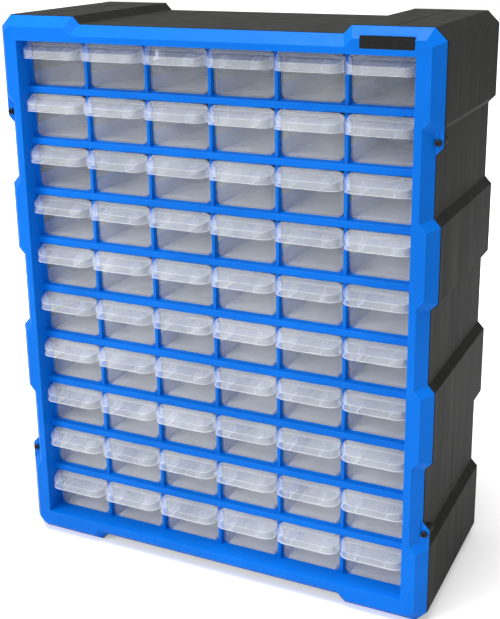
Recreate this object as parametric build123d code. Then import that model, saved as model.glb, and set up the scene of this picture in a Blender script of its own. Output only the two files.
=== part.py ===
from build123d import *
import os

# Parts bin cabinet with sixty pull-out drawers: a blue frame border with its drawer
# grid and runners, a black rear shell, four casing screws and the drawers.
# Millimetres, X to the right, Y to the back, Z up. The origin is the centre of the
# bottom of the whole cabinet. Depths are measured from the front face of the frame.

# How far a cut runs on past the face that it opens
OVERCUT = 1.0

# Drawer grid
COLUMNS = 6
ROWS = 10
PITCH_X = 56.8
PITCH_Z = 43.9

# Frame border round the grid, and what the window leaves beside the outer cells
SIDE_BORDER = 20.0
BOTTOM_BORDER = 21.45
TOP_BORDER = 20.25
WINDOW_LAP = 0.4
SUPPORT_DROP = 18.6
HEADROOM = 19.6
FRAME_INSET = 0.6
BEVEL_RUN = 8.2
BEVEL_DEPTH = 8.6
FLANGE_THICKNESS = 1.4
FRAME_WALL = 2.0

# Outline of the casing: raised pads with sloped ends on all four sides
CORNER_CHAMFER = 9.5
SIDE_STEP = 5.6
END_STEP = 6.2
STEP_SLOPE = 6.0
END_PAD_LENGTH = 71.0
CORNER_PAD_HEIGHT = 68.5
MID_PAD_HEIGHT = 59.0
MID_PAD_SPACING = 130.6
EAR_LENGTH = 16.0

# Seat for a bare badge at the upper right of the border
BADGE_WIDTH = 40.6
BADGE_HEIGHT = 9.2
BADGE_FROM_SIDE = 21.0
BADGE_BELOW_TOP = 6.5
BADGE_GAP = 0.2
BADGE_RECESS = 0.5
BADGE_SEAT = 4.0

# Grid of bars and dividers in front of the perforated plate
BAR_DEPTH = 12.6
BAR_HEIGHT = 5.6
BAR_EDGE = 1.0
BAR_TAB_WIDTH = 21.5
BAR_TAB_DROP = 0.45
BAR_TAB_SETBACK = 1.0
DIVIDER_DEPTH = 15.6
DIVIDER_WIDTH = 2.6
PLATE_DEPTH = 18.3
PLATE_THICKNESS = 2.0
CELL_CORNER = 4.5
SIDE_CLEARANCE = 1.0
NOTCH_WIDTH = 13.5
NOTCH_DEPTH = 1.1
TAB_DROP = 1.6

# Runners behind the plate, one under each edge of each drawer
RUNNER_REACH = 12.0
RUNNER_THICKNESS = 1.6
GUIDE_WIDTH = 2.0
GUIDE_HEIGHT = 10.3

# Rear shell
SHELL_WALL = 2.0
SHELL_FLANGE = 1.2
REAR_GAP = 5.2
RIDGE_INSET = 38.5
RIDGE_WIDTH = 1.6
RIDGE_DEPTH = 0.6
RIDGE_END = 2.4
KEYHOLE_SPACING = 260.0
KEYHOLE_BELOW_TOP = 45.0
KEYHOLE_HEAD = 10.0
KEYHOLE_SLOT = 4.6
KEYHOLE_TRAVEL = 9.0

# Casing screws in the ears of the frame
SCREW_EDGE = 4.2
SCREW_FROM_END = 80.8
HEAD_DIAMETER = 5.2
HEAD_THICKNESS = 2.2
SHANK_DIAMETER = 3.0
SHANK_LENGTH = 10.0
EAR_HOLE = 3.4
POCKET_CLEARANCE = 0.6
RECESS_DIAMETER = 2.4
RECESS_DEPTH = 1.2
BOSS_DIAMETER = 7.0
BOSS_LENGTH = 12.0

# Drawers
DRAWER_SPACING = 5.6
PANEL_SETBACK = 0.5
DRAWER_LENGTH = 134.0
DRAWER_WALL = 1.2
RUNNING_GAP = 0.3
DRAWER_CORNER = 5.0
RIM_HEIGHT = 33.0
PANEL_HEIGHT = 34.2
PANEL_TOP_CORNER = 1.5
STOP_TAB_WIDTH = 18.0
STOP_TAB_CATCH = 1.0

# Hooded handle of each drawer, with a face plate that stops on the dividers
HOOD_LENGTH = 16.2
HOOD_WING = 1.8
WING_GAP = 0.3
HOOD_CORNER = 9.0
LIP_BASE = 23.3
LIP_HEIGHT = 6.4
HOOD_RISE = 3.2
HOOD_WALL = 1.1
FACE_THICKNESS = 1.9
FACE_HEIGHT = 13.4
FACE_CORNER = 5.0
LABEL_RIB_SPACING = 26.0
LABEL_RIB_WALL = 0.8
LABEL_RIB_DROP = 0.4

# What follows from the sizes above
WINDOW_HALF = COLUMNS * PITCH_X / 2 - WINDOW_LAP
HALF_WIDTH = WINDOW_HALF + SIDE_BORDER
BOTTOM_ROW = BOTTOM_BORDER + SUPPORT_DROP
TOP_ROW = BOTTOM_ROW + (ROWS - 1) * PITCH_Z
WINDOW_TOP = TOP_ROW + HEADROOM
HEIGHT = WINDOW_TOP + TOP_BORDER
MID_HEIGHT = HEIGHT / 2
FRAME_BACK = BEVEL_DEPTH + FLANGE_THICKNESS
PLATE_BACK = PLATE_DEPTH + PLATE_THICKNESS
PANEL_FRONT = PLATE_DEPTH + PANEL_SETBACK
DRAWER_BACK = PANEL_FRONT + DRAWER_LENGTH
SHELL_INSIDE_BACK = DRAWER_BACK + REAR_GAP
DEPTH = SHELL_INSIDE_BACK + SHELL_WALL
FRONT_Y = -DEPTH / 2
DRAWER_HALF = PITCH_X / 2 - DRAWER_SPACING / 2
DRAWER_BOTTOM = RUNNING_GAP - SUPPORT_DROP
CELL_TOP = HEADROOM - TAB_DROP
LIP_FRONT = PANEL_FRONT - HOOD_LENGTH
FACE_BACK = DIVIDER_DEPTH - WING_GAP
FACE_FRONT = FACE_BACK - FACE_THICKNESS
HOOD_HALF = DRAWER_HALF + HOOD_WING
HOOD_BASE = DRAWER_BOTTOM + LIP_BASE
SCREW_X = HALF_WIDTH - SCREW_EDGE
SCREW_SPOTS = [
    (side * SCREW_X, height)
    for side in (-1, 1)
    for height in (SCREW_FROM_END, HEIGHT - SCREW_FROM_END)
]


def facing_plane(depth):
    """Plane seen from the front at a depth: its own x and y are the world's x and z."""
    return Plane(origin=(0, FRONT_Y + depth, 0), x_dir=(1, 0, 0), z_dir=(0, -1, 0))


def slab(face, front, back):
    """Solid between two depths with a face drawn as seen from the front."""
    return extrude(facing_plane(front) * face, amount=front - back)


def rectangle(left, right, low, high):
    """Rectangle between two widths and two heights."""
    centre = Pos((left + right) / 2, (low + high) / 2)
    return centre * Rectangle(right - left, high - low)


def column_x(column):
    """Middle of a column of cells, counted from 1 at the left."""
    return (column - (COLUMNS + 1) / 2) * PITCH_X


def row_z(row):
    """Middle of a row of cells, counted from 1 at the top."""
    return BOTTOM_ROW + (ROWS - row) * PITCH_Z


def casing_outline(corner_pad):
    """Corners of the padded outline, anticlockwise; corner_pad is how high the corner pads reach."""
    recess = HALF_WIDTH - SIDE_STEP
    mid_pad_low = MID_HEIGHT - (MID_PAD_SPACING + MID_PAD_HEIGHT) / 2
    mid_pad_high = mid_pad_low + MID_PAD_HEIGHT
    end_pad = HALF_WIDTH - END_PAD_LENGTH
    quarter = [
        (end_pad - STEP_SLOPE, END_STEP),
        (end_pad, 0),
        (HALF_WIDTH - CORNER_CHAMFER, 0),
        (HALF_WIDTH, CORNER_CHAMFER),
        (HALF_WIDTH, corner_pad),
        (recess, corner_pad + STEP_SLOPE),
        (recess, mid_pad_low - STEP_SLOPE),
        (HALF_WIDTH, mid_pad_low),
        (HALF_WIDTH, mid_pad_high),
        (recess, mid_pad_high + STEP_SLOPE),
    ]
    right = quarter + [(x, HEIGHT - z) for x, z in reversed(quarter)]
    return right + [(-x, z) for x, z in reversed(right)]


def inset_outline(corners, distance):
    """The same outline drawn further in by a distance, corner for corner."""
    moved = []
    for index, corner in enumerate(corners):
        before = Vector(*corners[index - 1])
        here = Vector(*corner)
        after = Vector(*corners[(index + 1) % len(corners)])
        edge_in = (here - before).normalized()
        edge_out = (after - here).normalized()
        normal_in = Vector(-edge_in.Y, edge_in.X)
        normal_out = Vector(-edge_out.Y, edge_out.X)
        mitre = (normal_in + normal_out) / (1 + normal_in.dot(normal_out))
        spot = here + mitre * distance
        moved.append((spot.X, spot.Y))
    return moved


def outline_face(corner_pad, inset):
    """Face of the padded outline, drawn in from the widest outline by an inset."""
    return Polygon(*inset_outline(casing_outline(corner_pad), inset), align=None)


def bevelled_block(inset, front, back):
    """Block inside the frame's bevel, further in by an inset, from one depth to another."""
    outer = outline_face(CORNER_PAD_HEIGHT, FRAME_INSET + inset)
    inner = outline_face(CORNER_PAD_HEIGHT, FRAME_INSET + BEVEL_RUN + inset)
    bevel = loft([facing_plane(front) * inner, facing_plane(front + BEVEL_DEPTH) * outer], ruled=True)
    return bevel + slab(outer, front + BEVEL_DEPTH, back)


def badge_place():
    """Outline of the badge with the gap round it, as seen from the front."""
    right = HALF_WIDTH - BADGE_FROM_SIDE
    high = HEIGHT - BADGE_BELOW_TOP
    gap = BADGE_GAP
    return rectangle(right - BADGE_WIDTH - gap, right + gap, high - BADGE_HEIGHT - gap, high + gap)


def frame_border():
    """Hollow bevelled border with its window, the flange behind it, the ears and the badge seat."""
    border = bevelled_block(0, 0, FRAME_BACK)
    ears = outline_face(CORNER_PAD_HEIGHT + EAR_LENGTH, FRAME_INSET)
    border += slab(ears, BEVEL_DEPTH, FRAME_BACK)
    wall = FRAME_WALL
    window = rectangle(-WINDOW_HALF, WINDOW_HALF, BOTTOM_BORDER, WINDOW_TOP)
    sleeve = rectangle(-WINDOW_HALF - wall, WINDOW_HALF + wall, BOTTOM_BORDER - wall, WINDOW_TOP + wall)
    hollow = bevelled_block(wall, wall, FRAME_BACK + BEVEL_DEPTH)
    hollow -= slab(sleeve, 0, DEPTH)
    border -= hollow
    border += slab(sleeve, FRAME_BACK, PLATE_DEPTH)
    border += slab(badge_place(), BADGE_RECESS, BADGE_RECESS + BADGE_SEAT)
    border -= slab(badge_place(), -OVERCUT, BADGE_RECESS)
    for x, z in SCREW_SPOTS:
        side = 1 if x > 0 else -1
        end = 1 if z > MID_HEIGHT else -1
        room = HEAD_DIAMETER / 2 + POCKET_CLEARANCE
        outside = side * (HALF_WIDTH + OVERCUT)
        pocket_x = sorted((x - side * room, outside))
        pocket_z = sorted((z + end * room, z - end * (EAR_LENGTH - room)))
        border += Pos(x - side * BOSS_DIAMETER / 2, FRONT_Y + FRAME_BACK - wall / 2, z) * Box(
            BOSS_DIAMETER, wall, 2 * BOSS_DIAMETER
        )
        border -= slab(rectangle(*pocket_x, *pocket_z), -OVERCUT, BEVEL_DEPTH)
        border -= slab(Pos(x, z) * Circle(EAR_HOLE / 2), 0, FRAME_BACK)
    return border - slab(window, -OVERCUT, PLATE_DEPTH)


def cell_opening(column, row):
    """Hole in the plate for one drawer: round lower corners and a tab between two upper notches."""
    half = DRAWER_HALF + SIDE_CLEARANCE
    opening = rectangle(-half, half, -SUPPORT_DROP, CELL_TOP)
    opening = fillet(opening.vertices().group_by(Axis.Y)[0], CELL_CORNER)
    for left in (-half, half - NOTCH_WIDTH):
        opening += rectangle(left, left + NOTCH_WIDTH, 0, CELL_TOP + NOTCH_DEPTH)
    return Pos(column_x(column), row_z(row)) * opening


def grid_plate():
    """Perforated plate at the back of the window."""
    wall = FRAME_WALL
    plate = rectangle(-WINDOW_HALF - wall, WINDOW_HALF + wall, BOTTOM_BORDER - wall, WINDOW_TOP + wall)
    for row in range(1, ROWS + 1):
        plate -= [cell_opening(column, row) for column in range(1, COLUMNS + 1)]
    return slab(plate, PLATE_DEPTH, PLATE_BACK)


def grid_bar(row):
    """Bar under a row of cells, round at its front edges, with a low tab over each cell below."""
    middle = row_z(row) - PITCH_Z / 2
    low = middle - BAR_HEIGHT / 2
    high = middle + BAR_HEIGHT / 2
    bar = slab(rectangle(-WINDOW_HALF, WINDOW_HALF, low, high), BAR_DEPTH, PLATE_DEPTH)
    bar = fillet(bar.faces().sort_by(Axis.Y)[0].edges().filter_by(Axis.X), BAR_EDGE)
    for column in range(1, COLUMNS + 1):
        tab = Pos(column_x(column), 0) * rectangle(
            -BAR_TAB_WIDTH / 2, BAR_TAB_WIDTH / 2, low - BAR_TAB_DROP, low
        )
        bar += slab(tab, BAR_DEPTH + BAR_TAB_SETBACK, PLATE_DEPTH)
    return bar


def drawer_grid():
    """Plate with the bars between the rows and the dividers between the columns."""
    half = DIVIDER_WIDTH / 2
    dividers = Sketch()
    for column in range(1, COLUMNS):
        middle = column_x(column) + PITCH_X / 2
        dividers += rectangle(middle - half, middle + half, BOTTOM_BORDER, WINDOW_TOP)
    grid = grid_plate() + slab(dividers, DIVIDER_DEPTH, PLATE_DEPTH)
    return grid + [grid_bar(row) for row in range(1, ROWS)]


def runners():
    """Runners from the plate to the back wall: a ledge under the drawers and a guide between them."""
    rails = []
    inner_limit = COLUMNS * PITCH_X / 2 + GUIDE_WIDTH / 2
    for row in range(1, ROWS + 1):
        top = row_z(row) - SUPPORT_DROP
        low = top - RUNNER_THICKNESS
        for divider in range(COLUMNS + 1):
            middle = (divider - COLUMNS / 2) * PITCH_X
            left = max(middle - RUNNER_REACH, -inner_limit)
            right = min(middle + RUNNER_REACH, inner_limit)
            section = rectangle(left, right, low, top)
            section += rectangle(middle - GUIDE_WIDTH / 2, middle + GUIDE_WIDTH / 2, low, top + GUIDE_HEIGHT)
            rails.append(slab(section, PLATE_BACK, SHELL_INSIDE_BACK))
    return rails


def keyhole(x):
    """Hanging hole: a screw head goes in below and slides up the slot."""
    top = HEIGHT - KEYHOLE_BELOW_TOP
    shape = Pos(x, top - KEYHOLE_TRAVEL) * Circle(KEYHOLE_HEAD / 2)
    shape += rectangle(x - KEYHOLE_SLOT / 2, x + KEYHOLE_SLOT / 2, top - KEYHOLE_TRAVEL, top)
    shape += Pos(x, top) * Circle(KEYHOLE_SLOT / 2)
    return slab(shape, SHELL_INSIDE_BACK - OVERCUT, DEPTH + OVERCUT)


def rear_shell():
    """Tub open to the front, with a flange behind the ears, screw bosses and two hanging holes."""
    inside = outline_face(CORNER_PAD_HEIGHT, SHELL_WALL)
    flange = outline_face(CORNER_PAD_HEIGHT + EAR_LENGTH, 0)
    shell = slab(outline_face(CORNER_PAD_HEIGHT, 0), FRAME_BACK, DEPTH)
    shell += slab(flange, FRAME_BACK, FRAME_BACK + SHELL_FLANGE)
    shell -= slab(inside, FRAME_BACK - OVERCUT, SHELL_INSIDE_BACK)
    for x, z in SCREW_SPOTS:
        pilot_end = FRAME_BACK + SHANK_LENGTH
        shell += slab(Pos(x, z) * Circle(BOSS_DIAMETER / 2), FRAME_BACK, FRAME_BACK + BOSS_LENGTH)
        shell -= slab(Pos(x, z) * Circle(SHANK_DIAMETER / 2), FRAME_BACK - OVERCUT, pilot_end)
    for side in (-1, 1):
        ridge = side * (HALF_WIDTH - RIDGE_INSET)
        for low, high in ((-OVERCUT, RIDGE_DEPTH), (HEIGHT - RIDGE_DEPTH, HEIGHT + OVERCUT)):
            groove = rectangle(ridge - RIDGE_WIDTH / 2, ridge + RIDGE_WIDTH / 2, low, high)
            shell -= slab(groove, FRAME_BACK + RIDGE_END, DEPTH - RIDGE_END)
        shell -= keyhole(side * KEYHOLE_SPACING / 2)
    return shell


def casing_screw(x, z):
    """Pan-head screw from the ear of the frame into the boss of the shell."""
    head_front = BEVEL_DEPTH - HEAD_THICKNESS
    head = slab(Pos(x, z) * Circle(HEAD_DIAMETER / 2), head_front, BEVEL_DEPTH)
    head = fillet(head.edges().group_by(Axis.Y)[0], HEAD_THICKNESS / 2)
    recess = Pos(x, z) * RegularPolygon(RECESS_DIAMETER / 2, 6)
    head -= slab(recess, head_front - OVERCUT, head_front + RECESS_DEPTH)
    shank = slab(Pos(x, z) * Circle(SHANK_DIAMETER / 2), BEVEL_DEPTH, FRAME_BACK + SHANK_LENGTH)
    return head + shank


def tray_section(half, low, high, corner):
    """Front view of the tray: square at the top and round at its lower corners."""
    section = rectangle(-half, half, low, high)
    return fillet(section.vertices().group_by(Axis.Y)[0], corner)


def drawer_tray():
    """Open tray with its front panel and the stop tab on its back wall."""
    wall = DRAWER_WALL
    rim = DRAWER_BOTTOM + RIM_HEIGHT
    panel_top = DRAWER_BOTTOM + PANEL_HEIGHT
    tray = slab(tray_section(DRAWER_HALF, DRAWER_BOTTOM, rim, DRAWER_CORNER), PANEL_FRONT, DRAWER_BACK)
    panel = tray_section(DRAWER_HALF, DRAWER_BOTTOM, panel_top, DRAWER_CORNER)
    panel = fillet(panel.vertices().group_by(Axis.Y)[-1], PANEL_TOP_CORNER)
    tray += slab(panel, PANEL_FRONT, PANEL_FRONT + wall)
    tab_half = STOP_TAB_WIDTH / 2
    tab = rectangle(-tab_half, tab_half, DRAWER_BOTTOM, CELL_TOP + STOP_TAB_CATCH)
    tray += slab(tab, DRAWER_BACK - wall, DRAWER_BACK)
    inside = tray_section(DRAWER_HALF - wall, DRAWER_BOTTOM + wall, panel_top + wall, DRAWER_CORNER - wall)
    return tray - slab(inside, PANEL_FRONT + wall, DRAWER_BACK - wall)


def hood_plan(wall):
    """Plan of the hood, drawn in by a wall: a rounded front with wings and a narrower neck."""
    front = LIP_FRONT + wall
    half = HOOD_HALF - wall
    rounded = Pos(0, (front + PANEL_FRONT) / 2) * Rectangle(2 * half, PANEL_FRONT - front)
    rounded = fillet(rounded.vertices().group_by(Axis.Y)[0], HOOD_CORNER - wall)
    for side in (-1, 1):
        edge = sorted((side * (DRAWER_HALF - wall), side * (half + OVERCUT)))
        rounded -= rectangle(*edge, FACE_BACK - wall, PANEL_FRONT + OVERCUT)
    return rounded


def hood_block(wall):
    """Solid over the plan of the hood, under its top, both drawn in by a wall."""
    fold = HOOD_BASE + LIP_HEIGHT - wall
    ceiling = fold + HOOD_RISE
    block = extrude(Pos(0, FRONT_Y, HOOD_BASE) * hood_plan(wall), amount=LIP_HEIGHT + HOOD_RISE)
    slope = HOOD_RISE / (FACE_FRONT - LIP_FRONT)
    front = FRONT_Y + LIP_FRONT - OVERCUT
    back = FRONT_Y + PANEL_FRONT + OVERCUT
    clear = ceiling + wall + OVERCUT
    side_view = Polyline(
        (0, front, clear),
        (0, front, fold - slope * OVERCUT),
        (0, FRONT_Y + FACE_FRONT, ceiling),
        (0, back, ceiling),
        (0, back, clear),
        close=True,
    )
    return block - extrude(make_face(side_view), amount=PITCH_X / 2, both=True)


def face_plate():
    """Upright plate across the hood, round at its upper corners."""
    face = rectangle(-HOOD_HALF, HOOD_HALF, HOOD_BASE, HOOD_BASE + FACE_HEIGHT)
    face = fillet(face.vertices().group_by(Axis.Y)[-1], FACE_CORNER)
    return slab(face, FACE_FRONT, FACE_BACK)


def drawer_handle():
    """Thin hood and face plate, open below, with two ribs beside the label place."""
    opened = Pos(0, 0, -OVERCUT) * hood_block(HOOD_WALL)
    hood = hood_block(0) + face_plate() - hood_block(HOOD_WALL) - opened
    length = HOOD_LENGTH - HOOD_WALL / 2
    low = HOOD_BASE + LABEL_RIB_DROP
    high = HOOD_BASE + LIP_HEIGHT + HOOD_RISE
    web = Box(LABEL_RIB_WALL, length, high - low)
    for side in (-1, 1):
        spot = Pos(side * LABEL_RIB_SPACING / 2, FRONT_Y + PANEL_FRONT - length / 2, (low + high) / 2)
        hood += (spot * web) & hood_block(HOOD_WALL / 2)
    return hood


def export_part(name, shape):
    """Write one sub-part."""
    export_step(shape, "parts/" + name + ".step")


os.makedirs("parts", exist_ok=True)

export_part("frame_border", frame_border())
export_part("drawer_grid", drawer_grid())
export_part("drawer_runners", Compound(children=runners()))
export_part("rear_shell", rear_shell())
export_part("casing_screws", Compound(children=[casing_screw(x, z) for x, z in SCREW_SPOTS]))

# The drawers of the bottom row are one group of six
drawer = drawer_tray() + drawer_handle()
for row in range(1, ROWS + 1):
    placed = [Pos(column_x(column), 0, row_z(row)) * drawer for column in range(1, COLUMNS + 1)]
    if row == ROWS:
        export_part(f"drawers_r{row:02d}_shared", Compound(children=placed))
    else:
        for column, piece in enumerate(placed, start=1):
            export_part(f"drawer_r{row:02d}_c{column}", piece)
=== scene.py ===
"""Looks of the parts bin cabinet: materials, bare badge, studio and camera."""

import math

import bmesh
import bpy
from mathutils import Matrix, Vector


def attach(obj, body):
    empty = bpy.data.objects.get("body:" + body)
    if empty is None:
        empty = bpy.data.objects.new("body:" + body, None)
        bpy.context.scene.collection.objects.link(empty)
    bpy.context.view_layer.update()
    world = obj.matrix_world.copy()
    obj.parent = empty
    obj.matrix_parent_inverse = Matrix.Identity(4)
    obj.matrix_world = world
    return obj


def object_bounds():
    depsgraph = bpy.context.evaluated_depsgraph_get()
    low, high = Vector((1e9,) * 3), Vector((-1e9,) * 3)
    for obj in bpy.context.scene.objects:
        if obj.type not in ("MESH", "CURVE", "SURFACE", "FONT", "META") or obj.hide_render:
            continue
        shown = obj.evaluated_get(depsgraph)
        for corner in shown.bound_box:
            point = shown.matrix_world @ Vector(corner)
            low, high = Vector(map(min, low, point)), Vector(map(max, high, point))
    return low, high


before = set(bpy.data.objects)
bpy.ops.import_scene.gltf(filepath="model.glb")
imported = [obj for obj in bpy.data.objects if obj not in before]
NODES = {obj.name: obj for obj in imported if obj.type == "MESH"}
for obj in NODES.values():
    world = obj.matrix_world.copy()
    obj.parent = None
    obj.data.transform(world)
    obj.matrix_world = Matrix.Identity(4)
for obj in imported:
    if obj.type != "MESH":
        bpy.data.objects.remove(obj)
CAD_BOX = [list(corner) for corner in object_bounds()]

MM = 0.001

# The photograph's camera, solved from the cabinet's known size
PHOTO_WIDTH = 500
PHOTO_HEIGHT = 619
FOCAL_LENGTH_PIXELS = 1089.5
CENTRE_OF_VIEW_U = 257.8
CENTRE_OF_VIEW_V = 244.1
CAMERA_PLACE = (0.394, -0.8126, 0.546)
CAMERA_TURN_LEFT = 0.442
CAMERA_TILT_DOWN = 0.288
CAMERA_ROLL = -0.012
SENSOR_WIDTH = 36.0

# Front of the drawers' panels: what lies in front of it is handle
PANEL_Y = -61.2 * MM
HANDLE_STARTS = PANEL_Y + 0.6 * MM
HANDLE_IS_FULL = PANEL_Y - 0.2 * MM

# Bare badge in its seat at the top right of the frame: x from the middle line, z from the floor
BADGE_LEFT = 128.4 * MM
BADGE_RIGHT = 169.0 * MM
BADGE_LOW = 459.3 * MM
BADGE_HIGH = 468.5 * MM
BADGE_THICKNESS = 0.5 * MM
BADGE_CORNER = 0.8 * MM
BADGE_CORNER_SEGMENTS = 4

# Edges: how the bevelled normal and the true normal agree on a flat face and on a sharp edge
AGREE_FLAT = 0.995
AGREE_SHARP = 0.80
EDGE_SAMPLES = 4
# Painted highlight along sharp edges: its radius and the share of the highlight colour
EDGE_HIGHLIGHT_RADIUS = 0.8 * MM
EDGE_HIGHLIGHT_SHARE = 0.5
SOFT_EDGE = 0.5 * MM

# How upright a normal has to be for a face to count as level
LEVEL_FROM = 0.97
LEVEL_FULL = 0.995

# Alpha of the drawers' plastic, from its clear patches to its milky ones; the level faces' higher
# alpha is painted light and the edges' alpha a painted highlight
WALL_ALPHA = (0.06, 0.10)
HANDLE_ALPHA = (0.13, 0.19)
PAINTED_LEVEL_ALPHA = (0.46, 0.58)
EDGE_HIGHLIGHT_ALPHA = 0.75
# Sixty drawers stand behind and beside one another, so a ray crosses many walls
WALLS_SEEN_THROUGH = 32

# White studio: the floor's glow grows with the distance from the cabinet
FLOOR_HALF_WIDTH = 6.0
GLOW_STARTS = 0.25
GLOW_IS_FULL = 0.8
GLOW_NEAR = 0.35
GLOW_FAR = 1.0
ROOM_AS_LAMP = 0.45
ROOM_SEEN = 1.0

# Lamps: name, place, target, size in metres, power in watts
LAMPS = (
    ("key", (-1.7, -2.4, 1.6), (0.0, 0.0, 0.25), 1.0, 48.0),
    ("fill", (2.2, -1.6, 1.2), (0.0, 0.0, 0.25), 1.8, 6.0),
    ("top", (-0.2, -0.5, 2.4), (0.0, 0.0, 0.3), 1.2, 55.0),
)


# ---------------------------------------------------------------- material helpers

class Shader:
    """A material with one Principled surface and short calls for its node chains."""

    def __init__(self, name):
        self.material = bpy.data.materials.new(name)
        self.material.use_nodes = True
        self.tree = self.material.node_tree
        self.surface = self.tree.nodes["Principled BSDF"]
        self.place = self.add("ShaderNodeNewGeometry").outputs["Position"]

    def add(self, kind, **settings):
        node = self.tree.nodes.new(kind)
        for key, value in settings.items():
            setattr(node, key, value)
        return node

    def link(self, source, target):
        self.tree.links.new(source, target)

    def stretched(self, scale):
        """Position in metres, scaled differently along the three axes."""
        node = self.add("ShaderNodeMapping")
        node.inputs["Scale"].default_value = scale
        self.link(self.place, node.inputs["Vector"])
        return node.outputs["Vector"]

    def noise(self, waves_per_metre, detail=2.0, vector=None):
        """Noise from 0 to 1 over the position, or over another vector."""
        node = self.add("ShaderNodeTexNoise")
        node.inputs["Scale"].default_value = waves_per_metre
        node.inputs["Detail"].default_value = detail
        self.link(vector or self.place, node.inputs["Vector"])
        return node.outputs["Fac"]

    def remap(self, value, low, high, to_low=0.0, to_high=1.0):
        """Value moved from the range low..high to the range to_low..to_high, and held inside it."""
        node = self.add("ShaderNodeMapRange")
        node.inputs["From Min"].default_value = low
        node.inputs["From Max"].default_value = high
        node.inputs["To Min"].default_value = to_low
        node.inputs["To Max"].default_value = to_high
        self.link(value, node.inputs["Value"])
        return node.outputs["Result"]

    def mix(self, factor, first, second):
        """Colour between two colours; each is a tuple or another node's output."""
        node = self.add("ShaderNodeMix", data_type="RGBA")
        self.link(factor, node.inputs["Factor"])
        for socket, colour in ((node.inputs["A"], first), (node.inputs["B"], second)):
            if isinstance(colour, tuple):
                socket.default_value = (*colour, 1.0)
            else:
                self.link(colour, socket)
        return node.outputs["Result"]

    def between(self, factor, first, second):
        """Number between two outputs."""
        node = self.add("ShaderNodeMix")
        self.link(factor, node.inputs["Factor"])
        self.link(first, node.inputs["A"])
        self.link(second, node.inputs["B"])
        return node.outputs["Result"]

    def larger(self, first, second):
        node = self.add("ShaderNodeMath", operation="MAXIMUM")
        self.link(first, node.inputs[0])
        self.link(second, node.inputs[1])
        return node.outputs["Value"]

    def rounded_normal(self, radius):
        """Normal as if sharp edges were rounded by a radius."""
        node = self.add("ShaderNodeBevel", samples=EDGE_SAMPLES)
        node.inputs["Radius"].default_value = radius
        return node.outputs["Normal"]

    def edges(self, radius):
        """About 0 on flat faces and up to 1 along sharp edges, within a radius of them."""
        geometry = self.add("ShaderNodeNewGeometry")
        dot = self.add("ShaderNodeVectorMath", operation="DOT_PRODUCT")
        self.link(self.rounded_normal(radius), dot.inputs[0])
        self.link(geometry.outputs["Normal"], dot.inputs[1])
        return self.remap(dot.outputs["Value"], AGREE_FLAT, AGREE_SHARP)

    def painted_edge_highlight(self, colour, edge_colour):
        """Colour that turns towards a painted highlight colour along sharp edges."""
        share = self.remap(self.edges(EDGE_HIGHLIGHT_RADIUS), 0.0, 1.0, 0.0, EDGE_HIGHLIGHT_SHARE)
        return self.mix(share, colour, edge_colour)

    def own_depth(self):
        """Y in the piece's own place, so that it rides with the piece."""
        parts = self.add("ShaderNodeSeparateXYZ")
        self.link(self.add("ShaderNodeTexCoord").outputs["Object"], parts.inputs["Vector"])
        return parts.outputs["Y"]

    def levelness(self):
        """1 on level faces and 0 on upright ones."""
        geometry = self.add("ShaderNodeNewGeometry")
        parts = self.add("ShaderNodeSeparateXYZ")
        self.link(geometry.outputs["True Normal"], parts.inputs["Vector"])
        size = self.add("ShaderNodeMath", operation="ABSOLUTE")
        self.link(parts.outputs["Z"], size.inputs[0])
        return size.outputs["Value"]

    def bump(self, height, depth, strength, below=None):
        """Bump of a depth in metres over the face's own normal, or over the one below."""
        node = self.add("ShaderNodeBump")
        node.inputs["Strength"].default_value = strength
        node.inputs["Distance"].default_value = depth
        self.link(height, node.inputs["Height"])
        if below:
            self.link(below, node.inputs["Normal"])
        return node.outputs["Normal"]

    def finish(self, colour=None, roughness=None, normal=None, **numbers):
        """Join the chains to the surface and set its plain numbers."""
        chains = ((colour, "Base Color"), (roughness, "Roughness"), (normal, "Normal"))
        for source, socket in chains:
            if source is not None:
                self.link(source, self.surface.inputs[socket])
        for key, number in numbers.items():
            self.surface.inputs[key.replace("_", " ")].default_value = number
        return self.material


# ---------------------------------------------------------------- materials

def blue_plastic():
    """Satin blue polypropylene with a faint flow pattern and a painted highlight of lighter blue
    along sharp edges.
    """
    deep, bright, painted_edge_highlight = (0.0, 0.125, 0.56), (0.001, 0.150, 0.66), (0.02, 0.33, 0.92)
    shader = Shader("blue_polypropylene")
    flow = shader.remap(shader.noise(9.0, 3.0), 0.35, 0.65)
    # Sharp edges turn towards the lighter blue: painted highlight
    colour = shader.painted_edge_highlight(shader.mix(flow, deep, bright), painted_edge_highlight)
    grain = shader.noise(1400.0, 3.0)
    waves = shader.noise(55.0)
    normal = shader.bump(waves, 0.4 * MM, 0.3, below=shader.rounded_normal(SOFT_EDGE))
    normal = shader.bump(grain, 0.05 * MM, 0.5, below=normal)
    roughness = shader.remap(shader.noise(120.0, 4.0), 0.3, 0.7, 0.34, 0.48)
    return shader.finish(colour, roughness, normal, Specular_IOR_Level=0.08)


def black_plastic():
    """Black polypropylene with a matt grain, faint moulding streaks that run up the sides, and a
    painted highlight of lighter grey along sharp edges.
    """
    deep, streaked = (0.010, 0.0105, 0.009), (0.015, 0.0155, 0.0135)
    clouded, painted_edge_highlight = (0.020, 0.020, 0.018), (0.10, 0.10, 0.095)
    streaks_per_metre = (70.0, 70.0, 5.0)
    shader = Shader("black_polypropylene")
    streaks = shader.noise(1.0, 4.0, shader.stretched(streaks_per_metre))
    colour = shader.mix(shader.remap(streaks, 0.35, 0.75), deep, streaked)
    cloud = shader.remap(shader.noise(7.0, 3.0), 0.45, 0.75, 0.0, 0.5)
    # Sharp edges turn towards a lighter grey: painted highlight
    colour = shader.painted_edge_highlight(shader.mix(cloud, colour, clouded), painted_edge_highlight)
    grain = shader.noise(900.0, 4.0)
    normal = shader.bump(streaks, 0.15 * MM, 0.25, below=shader.rounded_normal(SOFT_EDGE))
    normal = shader.bump(grain, 0.08 * MM, 0.7, below=normal)
    roughness = shader.remap(streaks, 0.3, 0.7, 0.58, 0.50)
    return shader.finish(colour, roughness, normal, Specular_IOR_Level=0.12)


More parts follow.
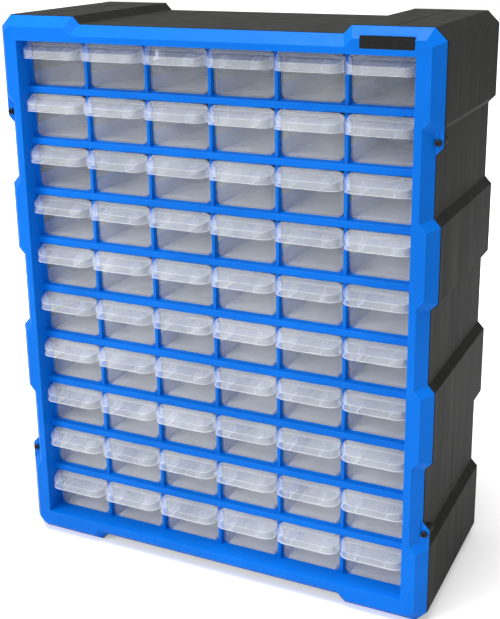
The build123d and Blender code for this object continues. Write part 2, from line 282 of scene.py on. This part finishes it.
def clear_plastic():
    """Natural polypropylene: a thin milky veil on upright walls; level faces painted whiter and
    more opaque as painted light, for the light scattered through the stacked drawers, and a painted
    highlight along the edges.

    The drawers are see-through by alpha, so that the lamps reach inside the cells.
    """
    clear_veil, milky_veil = (0.80, 0.86, 0.93), (0.88, 0.92, 0.96)
    # Whiter colours of level faces and of edges: painted light and painted highlight
    level_painted_light_veil, edge_highlight_veil = (0.93, 0.92, 0.88), (0.95, 0.97, 1.0)
    shader = Shader("natural_polypropylene")
    milk = shader.remap(shader.noise(14.0, 3.0), 0.35, 0.65)
    # Painted highlight: a whiter colour and a higher alpha along sharp edges
    edge = shader.edges(SOFT_EDGE)
    # Painted light: level faces get a whiter colour and a higher alpha, standing in for light
    # scattered through the stacked drawers
    level = shader.remap(shader.levelness(), LEVEL_FROM, LEVEL_FULL)
    colour = shader.mix(level, shader.mix(milk, clear_veil, milky_veil), level_painted_light_veil)
    colour = shader.mix(edge, colour, edge_highlight_veil)

    handle = shader.remap(shader.own_depth(), HANDLE_STARTS, HANDLE_IS_FULL)
    wall_alpha = shader.remap(milk, 0.0, 1.0, *WALL_ALPHA)
    handle_alpha = shader.remap(milk, 0.0, 1.0, *HANDLE_ALPHA)
    level_alpha = shader.remap(milk, 0.0, 1.0, *PAINTED_LEVEL_ALPHA)
    edge_alpha = shader.remap(edge, 0.0, 1.0, 0.0, EDGE_HIGHLIGHT_ALPHA)
    upright_alpha = shader.between(handle, wall_alpha, handle_alpha)
    body_alpha = shader.between(level, upright_alpha, level_alpha)
    shader.link(shader.larger(body_alpha, edge_alpha), shader.surface.inputs["Alpha"])

    normal = shader.bump(shader.noise(60.0), 0.1 * MM, 0.4)
    normal = shader.bump(shader.noise(500.0, 3.0), 0.03 * MM, 0.4, below=normal)
    roughness = shader.remap(milk, 0.0, 1.0, 0.20, 0.30)
    return shader.finish(colour, roughness, normal)


def black_steel():
    """Black oxide steel of the casing screws."""
    shader = Shader("black_oxide_steel")
    grain = shader.noise(2500.0, 3.0)
    colour = shader.mix(grain, (0.010, 0.010, 0.010), (0.03, 0.03, 0.03))
    roughness = shader.remap(grain, 0.3, 0.7, 0.30, 0.45)
    return shader.finish(colour, roughness, shader.bump(grain, 0.03 * MM, 0.5), Metallic=0.6)


def badge_foil():
    """Glossy black foil of the bare badge."""
    shader = Shader("badge_foil")
    grain = shader.noise(700.0)
    colour = shader.mix(grain, (0.004, 0.004, 0.004), (0.012, 0.012, 0.012))
    roughness = shader.remap(shader.noise(150.0), 0.3, 0.7, 0.18, 0.28)
    normal = shader.bump(grain, 0.02 * MM, 0.3)
    return shader.finish(colour, roughness, normal, Specular_IOR_Level=0.25)


def assign(node_name, material):
    """Give a CAD node one material."""
    slots = NODES[node_name].data.materials
    slots.clear()
    slots.append(material)


# ---------------------------------------------------------------- badge

def badge(material):
    """Thin plate with rounded corners, from the front face of the frame back into its seat."""
    front = CAD_BOX[0][1]
    size = Vector((BADGE_RIGHT - BADGE_LEFT, BADGE_THICKNESS, BADGE_HIGH - BADGE_LOW))
    middle = Vector(((BADGE_LEFT + BADGE_RIGHT) / 2, front + BADGE_THICKNESS / 2,
                     (BADGE_LOW + BADGE_HIGH) / 2))
    bm = bmesh.new()
    bmesh.ops.create_cube(bm, size=1.0)
    bmesh.ops.scale(bm, vec=size, verts=bm.verts)
    through = [edge for edge in bm.edges
               if abs((edge.verts[0].co - edge.verts[1].co).y) > BADGE_THICKNESS / 2]
    bmesh.ops.bevel(bm, geom=through, offset=BADGE_CORNER, segments=BADGE_CORNER_SEGMENTS,
                    affect="EDGES", profile=0.5)
    bmesh.ops.translate(bm, vec=middle, verts=bm.verts)
    mesh = bpy.data.meshes.new("badge_plate")
    bm.to_mesh(mesh)
    bm.free()
    mesh.materials.append(material)
    piece = bpy.data.objects.new("badge_plate", mesh)
    bpy.context.scene.collection.objects.link(piece)
    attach(piece, "cabinet")


# ---------------------------------------------------------------- studio

def studio_white():
    """White of the floor, which runs into the white of the background away from the cabinet."""
    shader = Shader("studio_floor")
    shader.surface.inputs["Base Color"].default_value = (0.90, 0.90, 0.90, 1.0)
    shader.surface.inputs["Roughness"].default_value = 0.8
    distance = shader.add("ShaderNodeVectorMath", operation="LENGTH")
    shader.link(shader.place, distance.inputs[0])
    spread = shader.remap(distance.outputs["Value"], GLOW_STARTS, GLOW_IS_FULL,
                          GLOW_NEAR, GLOW_FAR)
    path = shader.add("ShaderNodeLightPath")
    seen = shader.add("ShaderNodeMath", operation="MULTIPLY")
    shader.link(spread, seen.inputs[0])
    shader.link(path.outputs["Is Camera Ray"], seen.inputs[1])
    glow = shader.add("ShaderNodeEmission")
    shader.link(seen.outputs["Value"], glow.inputs["Strength"])
    total = shader.add("ShaderNodeAddShader")
    shader.link(shader.surface.outputs["BSDF"], total.inputs[0])
    shader.link(glow.outputs["Emission"], total.inputs[1])
    output = shader.tree.nodes["Material Output"]
    shader.link(total.outputs["Shader"], output.inputs["Surface"])
    return shader.material


def floor(material):
    """Wide pale floor under the cabinet."""
    half = FLOOR_HALF_WIDTH
    corners = [(-half, -half, 0), (half, -half, 0), (half, half, 0), (-half, half, 0)]
    mesh = bpy.data.meshes.new("studio_floor")
    mesh.from_pydata(corners, [], [(0, 1, 2, 3)])
    mesh.materials.append(material)
    plane = bpy.data.objects.new("studio_floor", mesh)
    bpy.context.scene.collection.objects.link(plane)


def area_light(name, place, target, size, power):
    """Soft square lamp that looks at a target."""
    light = bpy.data.lights.new(name, "AREA")
    light.shape = "SQUARE"
    light.size = size
    light.energy = power
    lamp = bpy.data.objects.new(name, light)
    lamp.location = place
    lamp.rotation_euler = (Vector(target) - Vector(place)).to_track_quat("-Z", "Y").to_euler()
    bpy.context.scene.collection.objects.link(lamp)


def white_world():
    """Even white room: full white for the camera, softer for every other ray."""
    world = bpy.data.worlds.new("white_room")
    bpy.context.scene.world = world
    world.use_nodes = True
    nodes = world.node_tree.nodes
    links = world.node_tree.links
    background = nodes["Background"]
    background.inputs["Color"].default_value = (1.0, 1.0, 1.0, 1.0)
    path = nodes.new("ShaderNodeLightPath")
    seen = nodes.new("ShaderNodeMapRange")
    seen.inputs["To Min"].default_value = ROOM_AS_LAMP
    seen.inputs["To Max"].default_value = ROOM_SEEN
    links.new(path.outputs["Is Camera Ray"], seen.inputs["Value"])
    links.new(seen.outputs["Result"], background.inputs["Strength"])


def camera():
    """Camera of the photograph: its place, its turn and the off-centre crop."""
    data = bpy.data.cameras.new("photo_camera")
    data.sensor_fit = "HORIZONTAL"
    data.sensor_width = SENSOR_WIDTH
    data.lens = FOCAL_LENGTH_PIXELS / PHOTO_WIDTH * SENSOR_WIDTH
    data.shift_x = (PHOTO_WIDTH / 2 - CENTRE_OF_VIEW_U) / PHOTO_WIDTH
    data.shift_y = (CENTRE_OF_VIEW_V - PHOTO_HEIGHT / 2) / PHOTO_WIDTH
    eye = bpy.data.objects.new("photo_camera", data)
    bpy.context.scene.collection.objects.link(eye)
    turn = Matrix.Rotation(CAMERA_TURN_LEFT, 4, "Z")
    tilt = Matrix.Rotation(math.pi / 2 - CAMERA_TILT_DOWN, 4, "X")
    roll = Matrix.Rotation(CAMERA_ROLL, 4, "Z")
    eye.matrix_world = Matrix.Translation(CAMERA_PLACE) @ turn @ tilt @ roll
    bpy.context.scene.camera = eye


# ---------------------------------------------------------------- the scene

blue_finish = blue_plastic()
drawer_finish = clear_plastic()
for name in NODES:
    moving = name.startswith("drawer") and name not in ("drawer_grid", "drawer_runners")
    assign(name, drawer_finish if moving else blue_finish)
assign("rear_shell", black_plastic())
assign("casing_screws", black_steel())
badge(badge_foil())

floor(studio_white())
white_world()
for lamp_sizes in LAMPS:
    area_light(*lamp_sizes)
bpy.context.scene.cycles.transparent_max_bounces = WALLS_SEEN_THROUGH
camera()
bpy.context.scene.view_settings.view_transform = "Standard"
